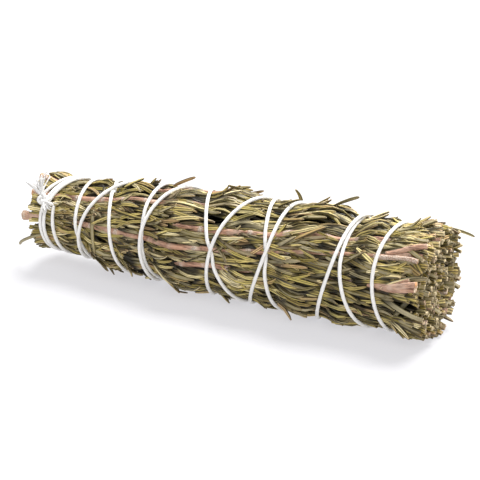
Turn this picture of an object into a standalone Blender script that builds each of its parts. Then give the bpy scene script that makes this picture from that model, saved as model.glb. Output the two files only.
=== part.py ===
"""Rosemary bundle: dried rosemary sprigs bound along their length with one white cotton string.

The bundle lies on its side along X, with the tied stem ends at -X and the square-cut end at +X.
Each sprig is two nodes: its woody stem, and the sleeve of leaves that is packed round the stem.
The string starts at the knot by the stem ends, winds out to the cut end and winds back over
itself. It presses a groove into the leaves wherever it runs, and the leaves swell between its
turns. Underneath, the bundle is pressed flat where it rests.

Places on the bundle are given as a distance along X, a radius from the bundle's axis and an
angle round the axis: 0 is the top, 90 the front (-Y), 180 the underside and 270 the back.
All sizes are in metres and all angles in degrees.
"""

import math

import bmesh
import bpy
import numpy as np

# Driving dimensions
CUT_END_X = 0.078
STEM_END_X = -0.078
LEAF_START_X = -0.0735
AXIS_HEIGHT = 0.0190
PROFILE_X = (-0.076, -0.054, -0.028, 0.002, 0.040, 0.078)
PROFILE_RADIUS = (0.0150, 0.0163, 0.0190, 0.0198, 0.0205, 0.0192)

# Sprigs, in three rings: one in the middle, then six, then twelve. The whole bundle is twisted a
# little, and a pair of sizes is the size at the leaf start and the size at the cut end.
GAP = 0.0004
TWIST_PER_METRE = -250
RING_COUNTS = (1, 6, 12)
RING_TURNS = (0, 0, 15)
HEART_RADIUS = (0.0027, 0.0038)
MIDDLE_RADIUS = (0.0072, 0.0098)
STEM_CIRCLES = ((0.0, 0.0), (0.0050, 0.0068), (0.0094, 0.0129))
STEM_RADIUS = 0.0010
# How far the ends of the stems and of the leaves differ from sprig to sprig
STEM_START_SPREAD = 0.0022
STEM_CUT_SPREAD = 0.0006
LEAF_START_SPREAD = 0.0012
LEAF_CUT_SPREAD = 0.0010
BORE_RADIUS = 0.0014
SEGMENTS = 8
CRUST_STEPS = 8
OUTLINE_POINTS = 9
GOLDEN_SHARE = 0.618

# String
STRING_RADIUS = 0.00065
STRING_DEPTH = 0.00175
CROSSING_DROP = 0.00145
CROSSING_REACH = 0.0032
STRING_FLOOR = 0.00075
STRING_STEP = 18
# Distances along X, in millimetres, where the string crosses the front of the bundle at the
# angles FRONT_ANGLES, in the order in which it is wound.
FRONT_ANGLES = (-23, 67, 157)
FRONT_PASSES = (
    (-55.8, -53.8, -52.5),
    (-46.6, -38.5, -35.4),
    (-26.0, -24.7, -22.9),
    (-8.5, 2.3, 11.5),
    (17.1, 24.2, 27.3),
    (50.0, 51.5, 57.8),
    (65.1, 62.9, 66.1),
    (51.9, 48.7, 40.0),
    (27.0, 24.9, 14.7),
    (13.9, 4.9, -0.7),
    (-15.9, -23.9, -24.2),
    (-37.5, -50.0, -54.5),
    (-60.5, -67.6, -67.2),
    (-62.2, -69.2, -68.8),
)
OUTWARD_PASSES = 6
STRING_START = ((-300, -64.3), (-203, -62.5))
STRING_END = ((-23, -63.9), (44, -70.6))

# The groove that the string presses into the leaves
GROOVE_FLOOR = 0.0014
GROOVE_FLAT = 0.0034
GROOVE_SHOULDER = 0.0022

# Knot
KNOT_X = -0.0686
KNOT_ANGLE = 54
KNOT_RADIUS = 0.0021
KNOT_FLATTENING = 0.7
TAIL_LENGTH = 0.0072
TAIL_RADIUS = 0.0008
TAIL_TIP = 0.4
# Shares of the directions along the bundle, onward round it and outward
TAIL_HEADINGS = {
    "string_tail_upper": (-0.72, -0.65, 0.22),
    "string_tail_lower": (0.60, 0.75, 0.22),
}

COLLECTION = "rosemary_bundle"


def make_material(name, colour, roughness):
    material = bpy.data.materials.new(name)
    material.use_nodes = True
    shader = material.node_tree.nodes["Principled BSDF"]
    shader.inputs["Base Color"].default_value = (*colour, 1.0)
    shader.inputs["Roughness"].default_value = roughness
    shader.inputs["Metallic"].default_value = 0.0
    return material


def on_bundle(x, radius, angle, shift=0.0):
    """The point at a radius and angle, moved by shift the way the angle grows, and kept above z = 0."""
    turn = math.radians(angle)
    side, up = -math.sin(turn), math.cos(turn)
    height = AXIS_HEIGHT - shift * math.sin(turn)
    if height + radius * up < 0:
        radius = height / -up
    return (x, radius * side - shift * math.cos(turn), height + radius * up)


def along_body(x, ends):
    """A size that changes evenly from the leaf start to the cut end."""
    share = (x - LEAF_START_X) / (CUT_END_X - LEAF_START_X)
    return ends[0] + (ends[1] - ends[0]) * share


def leaf_radius(x):
    """Radius of the leaves where no string presses on them."""
    return np.interp(x, PROFILE_X, PROFILE_RADIUS)


def string_waypoints():
    """Every hand-placed point of the string, as wound angle and distance along X."""
    start = len(FRONT_PASSES) * 360
    points = [(angle, x / 1000) for angle, x in STRING_START]
    for number, places in enumerate(FRONT_PASSES):
        points += [(360 * number + angle, x / 1000) for angle, x in zip(FRONT_ANGLES, places)]
    points += [(start + angle, x / 1000) for angle, x in STRING_END]
    return np.array(points)


WAYPOINTS = string_waypoints()
STRING_FIRST, STRING_LAST = WAYPOINTS[0, 0], WAYPOINTS[-1, 0]
OUTWARD_LAST = 360 * OUTWARD_PASSES + FRONT_ANGLES[0]


def string_x(angle):
    """Distance along X at a wound angle: a Hermite curve through the waypoints."""
    angles, places = WAYPOINTS.T
    slopes = np.gradient(places, angles)
    span = np.clip(np.searchsorted(angles, angle, side="right") - 1, 0, len(angles) - 2)
    width = angles[span + 1] - angles[span]
    t = (angle - angles[span]) / width
    return (
        (2 * t**3 - 3 * t**2 + 1) * places[span]
        + (t**3 - 2 * t**2 + t) * width * slopes[span]
        + (3 * t**2 - 2 * t**3) * places[span + 1]
        + (t**3 - t**2) * width * slopes[span + 1]
    )


def turns_at(angle):
    """The wound angles of all turns of the string that pass the given angle round the bundle."""
    first = math.ceil((STRING_FIRST - angle) / 360)
    last = math.floor((STRING_LAST - angle) / 360)
    return angle + 360.0 * np.arange(first, last + 1)


def crossing_drop(wound):
    """How far the outward winding is pressed in where the return winding crosses over it."""
    if wound > OUTWARD_LAST:
        return 0.0
    over = turns_at(wound % 360)
    over = over[over > OUTWARD_LAST]
    nearest = np.abs(string_x(over) - string_x(wound)).min()
    if nearest > CROSSING_REACH:
        return 0.0
    return CROSSING_DROP * math.cos(math.pi / 2 * nearest / CROSSING_REACH) ** 2


def string_radius(wound):
    """Radius of the string's centre line at a wound angle."""
    drop = crossing_drop(wound)
    radius = leaf_radius(string_x(wound)) - STRING_DEPTH - drop
    up = math.cos(math.radians(wound))
    if AXIS_HEIGHT + radius * up < STRING_FLOOR + drop:
        radius = (AXIS_HEIGHT - STRING_FLOOR - drop) / -up
    return radius


def crust_radius(x, angle):
    """Radius of the leaf surface: the profile, with a flat-floored groove under each turn."""
    full = leaf_radius(x)
    radius = full
    for wound in turns_at(angle):
        floor = string_radius(wound) - GROOVE_FLOOR
        away = np.maximum(np.abs(x - string_x(wound)) - GROOVE_FLAT, 0.0)
        groove = full - (full - floor) * np.exp(-((away / GROOVE_SHOULDER) ** 2))
        radius = np.minimum(radius, groove)
    return radius


def stem_points(ring, angle, golden):
    """The stem's centre line, from its end beyond the tie to the cut end."""
    start = STEM_END_X + STEM_START_SPREAD * golden
    end = CUT_END_X - STEM_CUT_SPREAD * golden
    places = np.linspace(start, end, SEGMENTS + 1)
    return [on_sprig(x, along_body(x, STEM_CIRCLES[ring]), angle) for x in places]


def on_sprig(x, radius, angle, shift=0.0):
    """A point that follows the twist of the sprigs."""
    return on_bundle(x, radius, angle + TWIST_PER_METRE * x, shift)


def add_loft_faces(mesh, rows):
    """Quads between neighbouring rows of vertices."""
    for lower, upper in zip(rows, rows[1:]):
        for k in range(len(lower) - 1):
            mesh.faces.new((lower[k], lower[k + 1], upper[k + 1], upper[k]))


def add_bore(mesh, stem, outlines, ends):
    """A through hole along the stem, with the two end faces between it and the leaf outlines."""
    stem_x, stem_y, stem_z = np.array(stem).T
    places = [ends[0], *stem_x[1:-1], ends[1]]
    rings = []
    first_y, first_z = outlines[0][0].co.y, outlines[0][0].co.z
    toward = math.atan2(first_z - stem_z[0], first_y - stem_y[0])
    for x in places:
        y, z = np.interp(x, stem_x, stem_y), np.interp(x, stem_x, stem_z)
        turns = toward + np.linspace(0, 2 * math.pi, OUTLINE_POINTS, endpoint=False)
        turns += math.radians(TWIST_PER_METRE * (x - ends[0]))
        ring = [
            mesh.verts.new((x, y + BORE_RADIUS * math.cos(t), z + BORE_RADIUS * math.sin(t)))
            for t in turns
        ]
        rings.append(ring + ring[:1])
    add_loft_faces(mesh, rings)
    for outline, ring in zip(outlines, (rings[0], rings[-1])):
        add_loft_faces(mesh, [outline + outline[:1], ring])


def add_heart(mesh, ends):
    """The leaves of the middle sprig: a tapering prism. Returns its outlines at the two ends."""
    rows = []
    for x in np.linspace(*ends, SEGMENTS + 1):
        radius = along_body(x, HEART_RADIUS) - GAP / 2
        turns = np.linspace(0, 360, OUTLINE_POINTS, endpoint=False)
        row = [mesh.verts.new(on_sprig(x, radius, turn)) for turn in turns]
        rows.append(row + row[:1])
    add_loft_faces(mesh, rows)
    return [row[:-1] for row in (rows[0], rows[-1])]


def add_sector(mesh, ring, angle, ends):
    """The leaves of a sprig outside the middle one: a sector of a ring, lofted along the bundle.

    The crust has four columns and, in the outer ring, a section every few millimetres that
    follows the grooves. The inner face has three columns and SEGMENTS straight stretches, and
    each side is one face for each stretch. Returns the outlines at the two ends.
    """
    half = 180 / RING_COUNTS[ring]
    steps = CRUST_STEPS if ring == 2 else 1
    places = np.linspace(*ends, SEGMENTS * steps + 1)
    crust = []
    for share, shift in ((-1, GAP / 2), (-1 / 3, 0.0), (1 / 3, 0.0), (1, -GAP / 2)):
        column = []
        for x in places:
            turn = angle + half * share
            if ring == 2:
                radius = crust_radius(x, turn + TWIST_PER_METRE * x)
            else:
                radius = along_body(x, MIDDLE_RADIUS) - GAP / 2
            column.append(mesh.verts.new(on_sprig(x, radius, turn, shift)))
        crust.append(column)
    add_loft_faces(mesh, crust)
    inner_size = (HEART_RADIUS, MIDDLE_RADIUS)[ring - 1]
    inner = []
    for share, shift in ((1, -GAP / 2), (0, 0.0), (-1, GAP / 2)):
        turn = angle + half * share
        inner.append([
            mesh.verts.new(on_sprig(x, along_body(x, inner_size) + GAP / 2, turn, shift))
            for x in places[::steps]
        ])
    add_loft_faces(mesh, inner)
    middles = {}
    for side, (outer_edge, inner_edge) in enumerate(((crust[-1], inner[0]), (crust[0], inner[-1]))):
        for end in (0, -1):
            middle = (outer_edge[end].co + inner_edge[end].co) / 2
            middles[side, end] = mesh.verts.new(middle)
        for k in range(SEGMENTS):
            face = outer_edge[k * steps : (k + 1) * steps + 1]
            face += [middles[side, -1]] if k == SEGMENTS - 1 else []
            face += [inner_edge[k + 1], inner_edge[k]]
            face += [middles[side, 0]] if k == 0 else []
            mesh.faces.new(face)
    return [
        [c[end] for c in crust] + [middles[0, end], *(c[end] for c in inner), middles[1, end]]
        for end in (0, -1)
    ]


def make_leaves(name, ring, angle, golden, stem, material, collection):
    """One sprig's leaves as a closed sleeve round its stem."""
    ends = (LEAF_START_X + LEAF_START_SPREAD * golden, CUT_END_X - LEAF_CUT_SPREAD * (1 - golden))
    mesh = bmesh.new()
    outlines = add_heart(mesh, ends) if ring == 0 else add_sector(mesh, ring, angle, ends)
    add_bore(mesh, stem, outlines, ends)
    bmesh.ops.recalc_face_normals(mesh, faces=mesh.faces)
    data = bpy.data.meshes.new(name)
    mesh.to_mesh(data)
    mesh.free()
    leaves = bpy.data.objects.new(name, data)
    leaves.data.materials.append(material)
    collection.objects.link(leaves)


def make_tube(name, points, radius, material, collection, tip=1.0):
    """A closed round tube through the points, which narrows evenly to its tip."""
    curve = bpy.data.curves.new(name, "CURVE")
    curve.dimensions = "3D"
    curve.bevel_depth = radius
    curve.bevel_resolution = 2
    curve.use_fill_caps = True
    spline = curve.splines.new("POLY")
    spline.points.add(len(points) - 1)
    widths = np.linspace(1.0, tip, len(points))
    for spline_point, place, width in zip(spline.points, points, widths):
        spline_point.co = (*place, 1.0)
        spline_point.radius = width
    tube = bpy.data.objects.new(name, curve)
    tube.data.materials.append(material)
    collection.objects.link(tube)


def make_sprigs(collection):
    """Nineteen sprigs: one in the middle, six round it and twelve in the outer ring."""
    bark = make_material("stem_bark", (0.36, 0.19, 0.12), 0.75)
    leaf = make_material("dried_leaf", (0.21, 0.20, 0.07), 0.7)
    number = 0
    for ring, (count, first_turn) in enumerate(zip(RING_COUNTS, RING_TURNS)):
        for step in range(count):
            number += 1
            angle = first_turn + 360 / count * step
            golden = number * GOLDEN_SHARE % 1.0
            name = f"sprig_{number:02d}"
            stem = stem_points(ring, angle, golden)
            make_tube(f"{name}_stem", stem, STEM_RADIUS, bark, collection)
            make_leaves(f"{name}_leaves", ring, angle, golden, stem, leaf, collection)


def make_string(collection, cotton):
    """The whole string, out to the cut end and back."""
    steps = round((STRING_LAST - STRING_FIRST) / STRING_STEP)
    route = []
    for wound in np.linspace(STRING_FIRST, STRING_LAST, steps + 1):
        route.append(on_bundle(string_x(wound), string_radius(wound), wound))
    make_tube("binding_string", route, STRING_RADIUS, cotton, collection)


def make_knot(collection, cotton):
    """The knot on the tied end and the two cut tails that leave it."""
    turn = math.radians(KNOT_ANGLE)
    outward = np.array((0.0, -math.sin(turn), math.cos(turn)))
    onward = np.array((0.0, -math.cos(turn), -math.sin(turn)))
    along = np.array((1.0, 0.0, 0.0))
    clear = STRING_RADIUS + GAP
    height = leaf_radius(KNOT_X) - STRING_DEPTH + clear + KNOT_RADIUS * KNOT_FLATTENING
    centre = np.array(on_bundle(KNOT_X, height, KNOT_ANGLE))
    bpy.ops.mesh.primitive_uv_sphere_add(segments=20, ring_count=12, radius=KNOT_RADIUS)
    knot = bpy.context.active_object
    knot.name = "binding_knot"
    knot.data.name = "binding_knot"
    knot.scale = (1.0, 1.0, KNOT_FLATTENING)
    knot.rotation_euler = (turn, 0.0, 0.0)
    knot.location = centre
    knot.data.materials.append(cotton)
    for holder in list(knot.users_collection):
        holder.objects.unlink(knot)
    collection.objects.link(knot)
    for name, shares in TAIL_HEADINGS.items():
        heading = shares[0] * along + shares[1] * onward + shares[2] * outward
        heading /= np.linalg.norm(heading)
        reach = np.linspace(KNOT_RADIUS + GAP, KNOT_RADIUS + TAIL_LENGTH, 5)
        points = [centre + heading * r for r in reach]
        make_tube(name, points, TAIL_RADIUS, cotton, collection, tip=TAIL_TIP)


def main():
    for item in list(bpy.data.objects):
        bpy.data.objects.remove(item, do_unlink=True)
    collection = bpy.data.collections.new(COLLECTION)
    bpy.context.scene.collection.children.link(collection)
    cotton = make_material("cotton_string", (0.86, 0.84, 0.80), 0.9)
    make_sprigs(collection)
    make_string(collection, cotton)
    make_knot(collection, cotton)


main()
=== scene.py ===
"""Rosemary bundle: looks for the dried rosemary sprigs and the white cotton string that binds them.

Places on the bundle are given as a distance along X, a radius from the bundle's axis and an
angle round the axis: 0 is the top, 90 the front (-Y), 180 the underside and 270 the back.
All sizes are in metres and all angles in degrees, unless a comment says millimetres.

The leaf surface is the bundle's radius at each place along X. Each turn of the string presses a
groove into it, full - (full - floor) * exp(-(distance from the string / shoulder) ^ 2), and
slow waves round and along the bundle are added to it. The table SURFACE holds it as a grid,
GROOVES the share of the groove, and HELD the radius that the string lets no leaf pass.

A leaf is a path of stations from its base on a stem, t = 0, to its tip, t = 1. It moves sideways
from the stem by spread * (1 - (1 - t) ^ FAN), it rises from the stem's depth to its own resting
depth by (1 - t) ^ RISE, and its heading, its bend and the lift of its tip are its own. The same
cross section, with two ridges on top and a felted groove between rolled edges underneath, is
swept along every path, and its width follows LEAF_STATIONS and LEAF_WIDTHS. Some stray leaves
leave the surface, cross the others or curl: they follow a heading that turns steadily.
"""

import math

import bpy
import numpy as np
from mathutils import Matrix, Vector


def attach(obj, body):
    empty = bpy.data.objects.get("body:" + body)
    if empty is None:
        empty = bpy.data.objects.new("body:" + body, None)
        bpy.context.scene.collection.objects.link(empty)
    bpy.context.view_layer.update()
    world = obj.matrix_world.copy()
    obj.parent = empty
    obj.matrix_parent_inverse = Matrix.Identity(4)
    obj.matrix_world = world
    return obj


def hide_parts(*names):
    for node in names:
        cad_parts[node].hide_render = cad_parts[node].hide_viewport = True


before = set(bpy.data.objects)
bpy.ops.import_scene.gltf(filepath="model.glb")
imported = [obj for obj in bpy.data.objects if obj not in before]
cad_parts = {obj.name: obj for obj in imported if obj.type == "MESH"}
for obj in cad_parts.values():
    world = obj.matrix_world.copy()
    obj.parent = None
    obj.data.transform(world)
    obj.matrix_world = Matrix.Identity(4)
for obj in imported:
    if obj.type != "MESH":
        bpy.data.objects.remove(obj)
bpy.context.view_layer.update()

# ---------------------------------------------------------------------------------------------
# The bundle, as in the CAD
# ---------------------------------------------------------------------------------------------
CUT_END_X = 0.078
STEM_END_X = -0.078
LEAF_START_X = -0.0735
AXIS_HEIGHT = 0.0190
PROFILE_X = (-0.076, -0.054, -0.028, 0.002, 0.040, 0.078)
PROFILE_RADIUS = (0.0150, 0.0163, 0.0190, 0.0198, 0.0205, 0.0192)
TWIST_PER_METRE = -250
RING_COUNTS = (1, 6, 12)
RING_TURNS = (0, 0, 15)
STEM_CIRCLES = ((0.0, 0.0), (0.0050, 0.0068), (0.0094, 0.0129))
GOLDEN_SHARE = 0.618

# The string's route
STRING_RADIUS = 0.00065
STRING_DEPTH = 0.00175
CROSSING_DROP = 0.00145
CROSSING_REACH = 0.0032
STRING_FLOOR = 0.00075
FRONT_ANGLES = (-23, 67, 157)
FRONT_PASSES = (
    (-55.8, -53.8, -52.5),
    (-46.6, -38.5, -35.4),
    (-26.0, -24.7, -22.9),
    (-8.5, 2.3, 11.5),
    (17.1, 24.2, 27.3),
    (50.0, 51.5, 57.8),
    (65.1, 62.9, 66.1),
    (51.9, 48.7, 40.0),
    (27.0, 24.9, 14.7),
    (13.9, 4.9, -0.7),
    (-15.9, -23.9, -24.2),
    (-37.5, -50.0, -54.5),
    (-60.5, -67.6, -67.2),
    (-62.2, -69.2, -68.8),
)
OUTWARD_PASSES = 6
STRING_START = ((-300, -64.3), (-203, -62.5))
STRING_END = ((-23, -63.9), (44, -70.6))
KNOT_X = -0.0686
KNOT_ANGLE = 54

# The leaf surface
GROOVE_BELOW_STRING = 0.0006
GROOVE_FLAT = 0.0005
GROOVE_SHOULDER = 0.0034
PINCH_FLAT = 0.0015
PINCH_SHOULDER = 0.0012
PINCH_FREE = 0.0030
LUMP = 0.00016
SETTLED = 0.00035
TABLE_STEP_X = 0.0005
TABLE_STEP_ANGLE = 3.0
# Slow waves on the surface: waves round the bundle, waves along it per metre, and their start
LUMP_WAVES = ((2, 95, 1.0), (3, -150, 2.1), (5, 230, 4.0), (7, -310, 0.4))

# Leaves: how many, and their shape
LEAVES_PER_SPRIG = (300, 300, 530)
NODE_SPACING = 0.0045
LEAF_STATIONS = (0.0, 0.06, 0.18, 0.34, 0.5, 0.66, 0.82, 0.94, 1.0)
LEAF_WIDTHS = (0.40, 0.72, 0.96, 1.0, 1.0, 0.97, 0.88, 0.66, 0.26)
LEAF_SECTION = (
    (0.0, 0.20), (0.36, 0.47), (0.78, 0.38), (1.0, 0.0), (0.74, -0.44),
    (0.0, -0.12), (-0.74, -0.44), (-1.0, 0.0), (-0.78, 0.38), (-0.36, 0.47),
)
LEAF_HALF_WIDTH = (0.00058, 0.00084)
LEAF_HEIGHT = (0.00072, 0.00108)
LEAF_LENGTH = (0.0145, 0.0225)
LEAF_REST = 0.00042
LOWEST_LEAF = 0.00068
STIFFNESS = 0.8
FAN = 2.6
RISE = 3.0
SPREAD = 0.0058
ROLL = 0.5
ROLL_ALONG = 0.35
UPSIDE_DOWN_SHARE = 0.34
BROWN_SHARE = 0.16

# Where leaves start on their stem: in tufts, loose, crowded at the tied end or near the cut
LEAF_MARGINS = (0.0008, 0.0015)
TUFT_SCATTER = 0.0009
LOOSE_SHARE = 0.35
TIED_END_SHARE = 0.11
TIED_END_PLACES = (-0.0018, 0.0032)
BROKEN_REACH = 0.003
BROKEN_SHARE = 0.3
BROKEN_FAN = 0.85
TIED_END_BLEND = 0.010
SHORTEST_SHARE = 0.12
CUT_END_SHARE = 0.10
CUT_END_PLACES = (0.004, 0.013)
CUT_END_DEPTHS = (0.0, 0.0105)
CUT_END_REACH = 0.014
CUT_END_SPLAY = (-0.0006, 0.0016)
CUT_END_TURN = 2.1
CUT_END_WIDER = 1.28
CUT_MEAN = -0.0012
CUT_SCATTER = 0.0025
CUT_LIMITS = (-0.0085, 0.0030)
# Near both ends a leaf's depth for its painted shade is at most this share of its distance from the
# end
END_DEPTH_SHARE = 0.95

# How leaves lie: depths in millimetres at the surface, below it and further in
REST_DEPTHS = ((0.0, 1.25), (1.2, 3.0), (3.0, 8.0))
REST_SHARES = (0.56, 0.80)
HEADING = 5.5
ASTRAY_SHARE = 0.06
ASTRAY_TURN = 3.2
BEND = 0.0009
WAVE = 0.00018
LIFTED_SHARE = 0.14
LIFT = (0.0008, 0.0032)
UNEVEN = (-0.0001, 0.0004)
COVERING_SHARE = 0.28
PUSHED_DOWN = 0.0021
STEM_FOLLOW = 0.55
INNERMOST = 0.0015
# Round an inner stem: distances from it, by ring, and how much the leaves turn and lean
INNER_OFF = 0.0007
INNER_REACH = (0.0038, 0.0047)
INNER_CUT_REACH = 1.5
# The depth that gives the inner leaves their painted shade
INNER_DEPTH = 0.006
INNER_TURN = 0.25
LEAN = 0.13
# Low on the front the leaves slope down towards the cut end
SLOPE = 13
SLOPE_ANGLE = 122
SLOPE_REACH = 30
SLOPE_X = 0.020
SLOPE_LENGTH = 0.045

# Stems that come to the surface: sprig number -> places, each (mm along X, angle, depth in mm)
OPEN_STEMS = {
    8: ((-69, 42, 1.0), (-59, 42, 0.9), (-44, 37, 0.9), (-27, 32, 1.0), (-5, 23, 1.6)),
    9: ((-8, 58, 1.6), (23, 50, 0.9), (34, 42, 1.0), (47, 39, 0.9), (61, 27, 1.2), (66, 25, 2.2)),
    10: (
        (-78, 83, 1.0), (-70, 83, 1.6), (-60, 82, 2.4), (-49, 79, 0.8), (-25, 80, 0.6),
        (-10, 81, 0.6), (8, 76, 0.6), (27, 67, 0.8), (43, 58, 0.7), (65, 48, 1.0), (75, 42, 1.0),
    ),
    11: ((-3, 98, 0.9), (7, 96, 0.9), (24, 92, 2.6), (60, 84, 2.2), (71, 81, 1.0), (78, 75, 1.0)),
    14: ((20, 191, 3.0), (33, 187, 0.9), (47, 183, 0.9), (58, 180, 3.0)),
    16: ((-60, 268, 2.5), (-46, 265, 0.9), (-30, 262, 1.0), (-8, 256, 3.0)),
    17: ((8, 288, 3.0), (20, 284, 0.9), (44, 276, 0.9), (56, 272, 2.8)),
    19: (
        (-78, 12, 0.4), (-72, 11, 1.2), (-66, 10, 1.5), (-60, 6, 2.6), (-45, 0, 4.0),
        (-30, 356, 3.0), (-18, 352, 1.0), (2, 345, 1.0), (14, 341, 3.0),
    ),
}
# Leaves that stray, and those placed one by one: sprig number -> (mm along X, angle, length in
# mm, heading, tilt, change of heading, change of tilt). A heading of 0 points to the cut end and
# 90 onward round. One with a tilt over STANDING isn't held down by the string.
STRAYS_PER_SPRIG = 11
STRAY_LENGTH = (0.008, 0.017)
STANDING = 30
STRAYS = {
    11: (
        (-70, 112, 17, 178, 35, -60, -70), (-60, 128, 9, 150, 20, 60, -30),
        (20, 104, 15, 10, 8, -78, -8),
    ),
    12: (
        (-66, 130, 12, 120, 25, 30, -60), (-60, 128, 10, 70, 30, -60, -50),
        (-54, 135, 12, 60, 25, 40, -50), (-50, 122, 9, 110, 20, 120, -30),
        (-10, 128, 16, 35, 10, -20, 10), (-2, 132, 15, 40, 12, 0, 5),
    ),
    10: ((8, 92, 12, 32, 6, 10, -6), (36, 84, 16, 14, 5, -22, -5), (64, 74, 12, -32, 8, -6, -6)),
    9: ((25, 56, 8, -52, 8, -14, -6), (56, 48, 13, 26, 6, 22, -6)),
    8: ((-40, 8, 9, -12, 32, 0, -10), (2, 12, 9, 10, 31, 0, -12), (22, 8, 9, -8, 34, 0, -20)),
    19: ((-22, 352, 9, -10, 32, 0, -10), (40, 350, 10, 5, 31, 0, -10), (52, 345, 8, 0, 34, 0, -10)),
}
STEM_CLEARANCE = 0.0016
STEM_HALF = (0.00125, 0.00085)
STEM_BLEND = 0.025
STEM_STEP = 0.0008
STEM_END_SPREADS = (0.0022, 0.0012)
NODE_REACH = 0.0010
PEELED_LENGTH = 0.0013
ROUND = 14
# Side twigs at the cut end
TWIG_STATIONS = 22
TWIG_LENGTH = (0.012, 0.022)
TWIG_ENDS = (-0.0040, 0.0026)
TWIG_OFF = 0.0006
TWIG_REACH = (0.0020, 0.0044)
TWIG_SIZE = (0.00055, 0.00105)

# The string's making: its samples, its plies, its knot and its frayed tails
ROUTE_SAMPLES = 4200
STRING_STEP = 0.00038
STRING_TWIST = 0.011
KNOT_RISE = 0.0011
KNOT_LOOP = 0.00115
KNOT_SWING = 0.00050
KNOT_HEIGHT = 0.00055
KNOT_STRING_RADIUS = 0.00062
YARN_RADIUS = 0.00033
HAIR_RADIUS = 0.00008
TAIL_STATIONS = 14
TAIL_FAN = 0.62

# Room and camera
FLOOR_HALF = 4.0
FLOOR_GREY = (0.245, 0.245, 0.245, 1.0)
FLOOR_GLOW = (1.0, 0.99, 1.03, 1.0)
WALL_LIGHT = (1.15, 1.15, 1.15)
CEILING_LIGHT = (0.58, 0.58, 0.60)
CAMERA_TURN = 28.4
CAMERA_RISE = 20.4
CAMERA_DISTANCE = 0.460
CAMERA_TARGET = (0.006, 0.0, 0.0212)
CAMERA_LENS = 99.15

# Colours
LEAF_DARK = (0.192, 0.151, 0.032)
LEAF_GREEN = (0.396, 0.322, 0.088)
LEAF_PALE = (0.65, 0.562, 0.315)
LEAF_BROWN = (0.37, 0.23, 0.11)
LEAF_FELT = (0.50, 0.43, 0.27)
# Painted shade for the groove on top of a leaf
PAINTED_GROOVE_SHADE = (0.12, 0.095, 0.035)
LEAF_TIP = (0.33, 0.22, 0.10)
LEAF_CUT_DARK = (0.10, 0.078, 0.030)
LEAF_CUT_PALE = (0.56, 0.455, 0.26)
LEAF_CUT_BROWN = (0.45, 0.30, 0.20)
BARK_DARK = (0.15, 0.072, 0.044)
BARK_PINK = (0.50, 0.275, 0.175)
BARK_PALE = (0.54, 0.37, 0.27)
BARK_WOOL = (0.66, 0.60, 0.50)
BARK_PEELED = (0.66, 0.36, 0.16)
WOOD_ORANGE = (0.62, 0.31, 0.13)
WOOD_PALE = (0.84, 0.70, 0.50)
WOOD_DARK = (0.36, 0.19, 0.10)
COTTON_SHADE = (0.66, 0.645, 0.62)
COTTON_WHITE = (0.84, 0.825, 0.80)
# Painted shade for the frayed tails
COTTON_TAIL_SHADE = (0.50, 0.485, 0.46)


ALONG = np.array((1.0, 0.0, 0.0))


def on_bundle(x, radius, angle):
    """Points at distances along X, radii and angles, as an array whose last axis is x, y, z."""
    turn = np.radians(angle)
    x, radius, turn = np.broadcast_arrays(x, radius, turn)
    return np.stack((x, -radius * np.sin(turn), AXIS_HEIGHT + radius * np.cos(turn)), axis=-1)


def outward_at(angle):
    """Unit vectors away from the axis."""
    turn = np.radians(angle)
    return np.stack((np.zeros_like(turn), -np.sin(turn), np.cos(turn)), axis=-1)


def along_body(x, ends):
    """A value that runs straight from ends[0] at the tied end to ends[1] at the cut end."""
    share = (x - LEAF_START_X) / (CUT_END_X - LEAF_START_X)
    return ends[0] + (ends[1] - ends[0]) * share


def leaf_radius(x):
    """The bundle's radius along X, without grooves."""
    return np.interp(x, PROFILE_X, PROFILE_RADIUS)


def unit(vectors):
    """Vectors divided by their lengths."""
    return vectors / np.maximum(np.linalg.norm(vectors, axis=-1, keepdims=True), 1e-9)


# ---------------------------------------------------------------------------------------------
# The string's route and the leaf surface
# ---------------------------------------------------------------------------------------------
def string_waypoints():
    """(wound angle, distance along X) of every place that the string passes, from its start."""
    start = len(FRONT_PASSES) * 360
    points = [(angle, x / 1000) for angle, x in STRING_START]
    for number, places in enumerate(FRONT_PASSES):
        points += [(360 * number + angle, x / 1000) for angle, x in zip(FRONT_ANGLES, places)]
    points += [(start + angle, x / 1000) for angle, x in STRING_END]
    return np.array(points)


WAYPOINTS = string_waypoints()
STRING_FIRST, STRING_LAST = WAYPOINTS[0, 0], WAYPOINTS[-1, 0]
OUTWARD_LAST = 360 * OUTWARD_PASSES + FRONT_ANGLES[0]
TURN_NUMBERS = np.arange(-1, len(FRONT_PASSES) + 2)


def string_x(angle):
    """Distance along X at wound angles: a Hermite curve through the waypoints."""
    angles, places = WAYPOINTS.T
    angle = np.clip(angle, STRING_FIRST, STRING_LAST)
    slopes = np.gradient(places, angles)
    span = np.clip(np.searchsorted(angles, angle, side="right") - 1, 0, len(angles) - 2)
    width = angles[span + 1] - angles[span]
    t = (angle - angles[span]) / width
    return (
        (2 * t**3 - 3 * t**2 + 1) * places[span]
        + (t**3 - 2 * t**2 + t) * width * slopes[span]
        + (3 * t**2 - 2 * t**3) * places[span + 1]
        + (t**3 - t**2) * width * slopes[span + 1]
    )


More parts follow.
